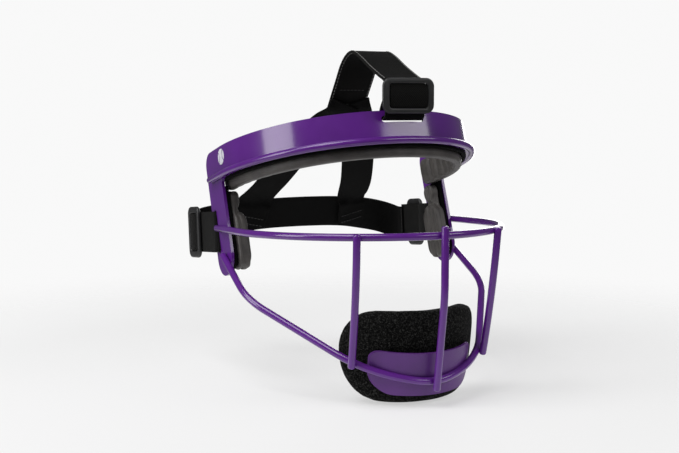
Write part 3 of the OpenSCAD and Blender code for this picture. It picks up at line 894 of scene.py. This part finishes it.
web = {"wide": 29, "elastic": 25.4, "thick": 1.6, "cuts": 10, "steps": 8, "selvedge": 0.35}
slider = {"long": 37.5, "wide": 23, "thick": 2.8, "corner": 5.6, "bar": 3.6, "end": 5,
          "clear": 0.4, "bridge": 1.5, "sideY": 62, "slope": 5.4, "topZ": 91}
legGap = 0.3
topRoute = [(0, -87.1, 95), (0, -86.2, 90.5), (0, -82.6, 86), (0, -80.2, 82),
            (0, -79.7, 79), (0, -81.2, 76.8), (0, -84.2, 75.9), (0, -86.9, 77.8),
            (0, -88, 82), (0, -89.2, 87), (0, -89.4, 92), (0, -88.6, 97), (0, -85, 101),
            (0, -77, 104.4), (0, -63, 110.6), (0, -49, 117.6), (0, -38, 121.2), (0, -29, 118.6),
            (0, -21, 112), (0, -14, 102.5), (0, -7, 93), (0, -0.5, 84)]
crownRoute = [(3.2, -5.2, 87), (5.6, -1.8, 82.4), (11.2, 6, 76), (20, 20, 63), (28, 36, 45.5),
              (35.5, 54, 28), (40.8, 71.7, 14.5), (42.3, 75.4, 6.5), (43.4, 78.8, -1.5),
              (44, 80.8, -6.2)]
rearRoute = [(0, 76.6, 3.2), (12, 76.6, 3.1), (24, 77, 2.8), (36, 78.2, 2), (46, 80.6, 1),
             (56, 84.6, -0.6), (66, 88.6, -2.4), (75, 91, -4.4), (81.5, 90, -6.4),
             (86, 87, -8.4), (88.5, 83, -9.2), (88.9, 79, -9.1), (88.9, 74.5, -8.7)]
rearLean = [23, 23, 23, 23, 21, 17, 12, 7, 3, -1, -4, -5.2, -5.4]
sideOut = legSpan / 2 + legGap + web["thick"] / 2
sideIn = legSpan / 2 - plate["sheet"] - legGap - web["thick"] / 2 - 0.1
sideRoute = [(sideOut - web["thick"] - 0.3, 47), (sideIn + 0.6, 41), (sideIn, 34), (sideIn, 27),
             (sideIn + 0.4, 23.4), ((sideIn + sideOut) / 2, 22), (sideOut - 0.4, 23.4),
             (sideOut, 27), (sideOut, 34), (sideOut, 46), (sideOut, 58), (sideOut, 70),
             (sideOut, 78.2)]


def curve(points, steps):                    # a smooth line through every point
    points = [Vector(point) for point in points]
    line = []
    for i in range(len(points) - 1):
        a, b = points[max(i - 1, 0)], points[i]
        c, d = points[i + 1], points[min(i + 2, len(points) - 1)]
        for k in range(steps):
            t = k / steps
            line.append(0.5 * (2 * b + (c - a) * t + (2 * a - 5 * b + 4 * c - d) * t * t
                               + (3 * b - a - 3 * c + d) * t ** 3))
    return line + [points[-1]]


def headings(path):
    last = len(path) - 1
    return [(path[min(i + 1, last)] - path[max(i - 1, 0)]).normalized() for i in range(last + 1)]


def ribbon(name, path, across, width):
    lengths = [0]
    for a, b in zip(path, path[1:]):
        lengths.append(lengths[-1] + (b - a).length)
    along = headings(path)
    clearSelection()
    bpy.ops.mesh.primitive_grid_add(x_subdivisions=len(path) - 1, y_subdivisions=web["cuts"],
                                    size=1)
    strap = bpy.context.object
    strap.name = name
    mesh = strap.data
    spots = []
    for vertex in mesh.vertices:
        index = round((vertex.co.x + 0.5) * (len(path) - 1))
        share = vertex.co.y
        side = (across[index] - along[index] * across[index].dot(along[index])).normalized()
        vertex.co = (path[index] + side * share * width) * mm
        spots.append((lengths[index] * mm, share * width * mm))
    layer = mesh.uv_layers.active.data
    for loop in mesh.loops:
        layer[loop.index].uv = spots[loop.vertex_index]
    modify(strap, "SOLIDIFY", thickness=web["thick"] * mm, offset=0)
    roundEdges(strap, web["selvedge"], 2, 50)
    smooth(strap, 50)
    return strap


def stitchMaster():
    clearSelection()
    bpy.ops.mesh.primitive_uv_sphere_add(segments=8, ring_count=6, radius=1)
    master = bpy.context.object
    master.name = "stitch"
    master.scale = Vector((1.15, 0.36, 0.32)) * mm
    settle(master)
    smooth(master, 80)
    return master


def stitches(name, rows, spacing=2.6):
    master = stitchMaster()
    copies = []
    for line, outward in rows:
        lengths = [0]
        for a, b in zip(line, line[1:]):
            lengths.append(lengths[-1] + (b - a).length)
        count = max(1, int(lengths[-1] / spacing))
        index = 0
        for k in range(count):
            at = (k + 0.5) * lengths[-1] / count
            while lengths[index + 1] < at:
                index += 1
            a, b = line[index], line[index + 1]
            heading = (b - a).normalized()
            spot = a + heading * (at - lengths[index])
            out = outward[index]
            up = (out - heading * out.dot(heading)).normalized()
            turn = Matrix((heading, up.cross(heading), up)).transposed().to_4x4()
            copy = master.copy()
            copy.data = master.data.copy()
            bpy.context.collection.objects.link(copy)
            copy.matrix_world = Matrix.Translation(spot * mm) @ turn
            copies.append(copy)
    bpy.data.objects.remove(master)
    clearSelection()
    for copy in copies:
        copy.select_set(True)
    bpy.context.view_layer.objects.active = copies[0]
    bpy.ops.object.join()
    seam = bpy.context.object
    seam.name = name
    settle(seam)
    return seam


def onFace(path, across, share, lift):       # a line on a strap's face, with its outward side
    line, outward = [], []
    for point, heading, wide in zip(path, headings(path), across):
        side = (wide - heading * wide.dot(heading)).normalized()
        out = heading.cross(side) * (1 if lift > 0 else -1)
        line.append(point + side * share + out * abs(lift))
        outward.append(out)
    return line, outward


def acrossRow(path, across, index, half, lift):   # a row of stitches straight across a strap
    heading = headings(path)[index]
    side = (across[index] - heading * across[index].dot(heading)).normalized()
    out = heading.cross(side) * (1 if lift > 0 else -1)
    ends = [path[index] + side * half * s + out * abs(lift) for s in (-1, 1)]
    return ends, [out, out]


def sideZ(y):
    return -3.9 - math.tan(math.radians(slider["slope"])) * (y - 24)


def makeTopStrap():
    path = curve(topRoute, web["steps"])
    across = [xAxis] * len(path)
    strap = ribbon("topStrap", path, across, web["wide"])
    giveTo(strap, "webbing", "webbing", "mask", "top_strap")
    # light grey stitches along both edges stand in for the strap edges catching the light, a
    # painted highlight
    lift = web["thick"] / 2 + hairline
    share = web["wide"] / 2 - 1.2
    first = 12 * web["steps"] + 1            # the edge stitches start above the band
    rows = []
    for s in (-share, share):
        for face in (-lift, lift):
            line, outward = onFace(path, across, s, face)
            rows.append((line[first:], outward[first:]))
    seam = stitches("topEdgeHighlightStitches", rows)
    giveTo(seam, "edgeHighlightThread", "webbing", "mask")
    rows = [acrossRow(path, across, index, 10, lift) for index in (-4, -12)]
    seam = stitches("topEndStitches", rows)
    giveTo(seam, "blackThread", "webbing", "mask")


def crownPath(side):
    under = Vector((0, -1.5, -1.1)) * side
    points = [Vector(point) + under * max(0, 1 - max(0, i - 1) / 1.5)
              for i, point in enumerate(crownRoute)]
    return curve(points, web["steps"])


def crownAcross(path, flip):                 # each end lies flat against the rear elastic
    sewn = Vector((0.944, 0.3 * flip, -0.12 * flip))
    return [xAxis.lerp(sewn, min(1, max(0, (24 - point.z) / 12))).normalized() for point in path]


def makeCrownStraps():
    for side, name, node in ((0, "crownLeft", "crown_left_strap"),
                             (1, "crownRight", "crown_right_strap")):
        flip = -1 if side else 1
        path = [Vector((point.x * flip, point.y, point.z)) for point in crownPath(side)]
        across = crownAcross(path, flip)
        strap = ribbon(name, path, across, web["elastic"])
        giveTo(strap, "elastic", "elastic", None, node)
        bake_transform(strap)
        lift = web["thick"] / 2 + hairline
        rows = [acrossRow(path, across, index, 10.5, face * lift)
                for index in (-4, -11) for face in (-1, 1)]
        seam = stitches(name + "Stitches", rows)
        giveTo(seam, "blackThread", "elastic", "rear_elastic")


def makeRearStrap():
    half = curve(rearRoute, web["steps"])
    leans = [value.x for value in curve([(lean, 0, 0) for lean in rearLean], web["steps"])]
    path = [Vector((-p.x, p.y, p.z)) for p in half[:0:-1]] + half
    leans = leans[:0:-1] + leans
    across = [Vector((0, -math.sin(math.radians(a)), math.cos(math.radians(a)))) for a in leans]
    strap = ribbon("rearStrap", path, across, web["elastic"])
    giveTo(strap, "elastic", "elastic", "rear_elastic", "rear_strap")
    lift = web["thick"] / 2 + hairline
    rows = [acrossRow(path, across, index, 11, face * lift)
            for index in (2, -3) for face in (-1, 1)]
    seam = stitches("rearStrapStitches", rows)
    giveTo(seam, "blackThread", "elastic", "rear_elastic")


def makeSideStraps():
    flat = curve([(x, y, 0) for x, y in sideRoute], web["steps"])
    path = [Vector((point.x, point.y, sideZ(point.y))) for point in flat]
    across = []
    for point in path:
        share = min(1, max(0, (point.y - 27) / 18))
        lean = math.radians(plate["lean"] + (slider["slope"] - plate["lean"]) * share)
        across.append(Vector((0, math.sin(lean), math.cos(lean))))
    for side, name, node in ((1, "leftStrap", "left_strap"), (-1, "rightStrap", "right_strap")):
        route = [Vector((point.x * side, point.y, point.z)) for point in path]
        strap = ribbon(name, route, across, web["wide"])
        giveTo(strap, "webbing", "webbing", None, node)
        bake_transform(strap)
        lift = web["thick"] / 2 + hairline
        rows = [acrossRow(route, across, -2, 12, side * lift)]
        seam = stitches(name + "Stitches", rows)
        giveTo(seam, "blackThread", "webbing", "rear_elastic")


def roundFrame():
    s = slider
    body = block("adjuster", (s["long"], s["wide"], s["thick"]), (0, 0, s["thick"] / 2))
    bevelEdges(body, lambda a, b: abs(a.z - b.z) > 1, s["corner"], 10)
    window = block("window", (s["long"] - 2 * s["end"], s["wide"] - 2 * s["bar"], 20), (0, 0, 0))
    bevelEdges(window, lambda a, b: abs(a.z - b.z) > 1, 1.6, 5)
    combine(body, window, "DIFFERENCE")
    roundEdges(body, 1.15, 5)
    clearSelection()
    bpy.ops.mesh.primitive_cylinder_add(vertices=24, radius=s["bridge"] * mm,
                                        depth=(s["long"] - 2 * s["end"] + 2) * mm,
                                        location=(0, 0, 0.55 * mm),
                                        rotation=(0, math.pi / 2, 0))
    bridge = bpy.context.object
    bridge.scale = (0.35, 1, 1)
    settle(bridge)
    clearSelection()
    bridge.select_set(True)
    body.select_set(True)
    bpy.context.view_layer.objects.active = body
    bpy.ops.object.join()
    smooth(body, 40)
    return body


def foldOf(name):
    s = slider
    reach = s["wide"] / 2 - s["bar"] - 0.4
    hump = [(0, -reach, 0.9), (0, -reach / 2, 2.2), (0, 0, 2.7), (0, reach / 2, 2.2),
            (0, reach, 0.9)]
    path = curve(hump, web["steps"])
    return ribbon(name, path, [xAxis] * len(path), web["wide"] - 2)


def makeAdjusters():
    s = slider
    front = topRoute[10][1] - web["thick"] / 2 - s["clear"]
    top = (Matrix.Translation(Vector((0, front, s["topZ"])) * mm)
           @ Matrix.Rotation(math.radians(90), 4, "X"))
    side = (Matrix.Translation(Vector((sideOut + web["thick"] / 2 + s["clear"], s["sideY"],
                                       sideZ(s["sideY"]))) * mm)
            @ Matrix.Rotation(-math.radians(s["slope"]), 4, "X")
            @ Matrix.Rotation(math.radians(90), 4, "Z") @ Matrix.Rotation(math.radians(90), 4, "X")
            @ Matrix.Rotation(math.radians(90), 4, "Z"))
    for place, name, body in ((top, "top", "top_adjuster"), (side, "left", "left_adjuster")):
        buckle = roundFrame()
        buckle.name = name + "Slider"
        settle(buckle, place)
        hump = foldOf(name + "Fold")
        settle(hump, place)
        if name == "left":
            giveTo(copyAcross(buckle, "rightSlider"), "satinBlack", "slider_plastic",
                   "right_adjuster", "right_slider")
            giveTo(copyAcross(hump, "rightFold"), "webbing", "webbing", "right_adjuster",
                   "right_fold")
        giveTo(buckle, "satinBlack", "slider_plastic", body, name + "_slider")
        giveTo(hump, "webbing", "webbing", body, name + "_fold")


def paintBadge():
    badge = cadNodes["emblem"]
    badge.data.materials.clear()
    badge.data.materials.append(materials["badgeWhite"])


stages = [
    ("camera", makeCamera), ("lights", makeLights), ("room", makeRoom), ("floor", makeFloor),
    ("frame plate", makeFramePlate), ("wires", makeWires), ("bars", makeBars),
    ("chin plate", makeChinPlate), ("hook tape", makeChinTape), ("chin pad", makeChinPad),
    ("brow backing", makeBrowBacking), ("brow pad", makeBrowPad),
    ("side backings", makeSideBacking), ("side pads", makeSidePads),
    ("top strap", makeTopStrap), ("crown straps", makeCrownStraps), ("rear strap", makeRearStrap),
    ("side straps", makeSideStraps), ("adjusters", makeAdjusters), ("badge", paintBadge),
]
for name, make in stages:
    make()
    print("made the", name)

clearSelection()
